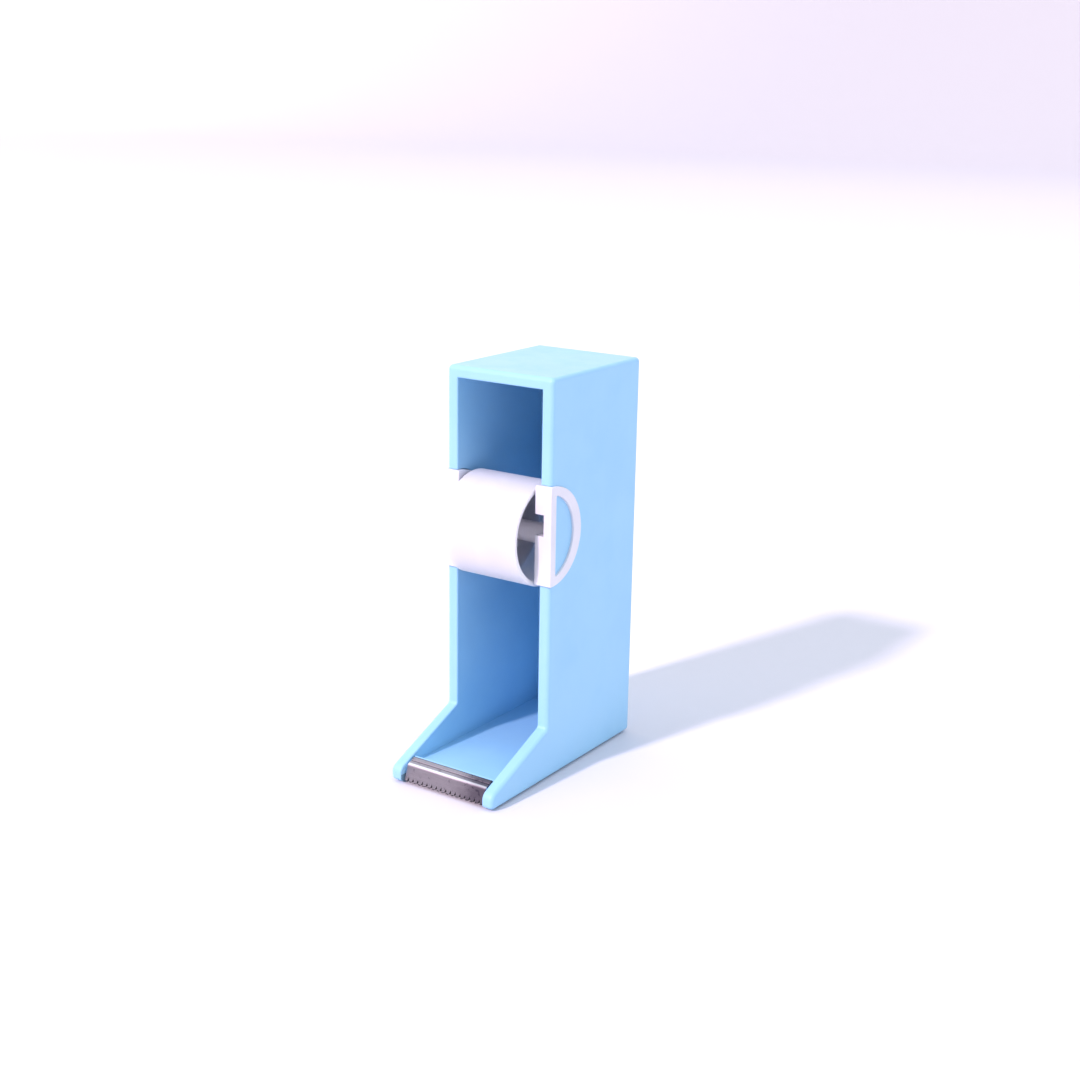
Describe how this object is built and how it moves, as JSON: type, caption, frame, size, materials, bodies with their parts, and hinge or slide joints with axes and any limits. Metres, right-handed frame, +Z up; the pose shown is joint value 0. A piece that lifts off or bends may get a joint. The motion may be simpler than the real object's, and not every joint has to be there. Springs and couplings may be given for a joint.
{
  "type": "tape dispenser",
  "caption": "Upright desk dispenser for small rolls of sticky tape: open-fronted tower with a turning core drum on a lift-out axle and a toothed cutting blade between its toes.",
  "frame": {"origin": "centre of the footprint on the table, under the housing", "axes": "+Z up, the open front and the toes face -Y, X along the axle"},
  "size_m": [0.0312, 0.0604, 0.098],
  "materials": {
    "housing_plastic": "light blue, satin-gloss moulded",
    "bracket_plastic": "white, smooth moulded",
    "drum_plastic": "white, fine satin",
    "axle_plastic": "white, smooth turned",
    "blade_steel": "brushed lengthwise",
    "pad_rubber": "matt non-slip"
  },
  "bodies": {
    "housing": {"housing": "housing_plastic", "base_pad": "pad_rubber", "left_bracket": "bracket_plastic", "right_bracket": "bracket_plastic", "cutter_blade": "blade_steel"},
    "axle": {"axle": "axle_plastic"},
    "drum": {"drum": "drum_plastic"}
  },
  "joints": [
    {"name": "axle_lift", "type": "slide", "parent": "housing", "child": "axle", "axis": [0, 0, 1], "range_m": [0, 0.00365]},
    {"name": "drum_spin", "type": "hinge", "parent": "axle", "child": "drum", "pos_m": [0, -0.00325, 0.06], "axis": [1, 0, 0], "continuous": true}
  ]
}
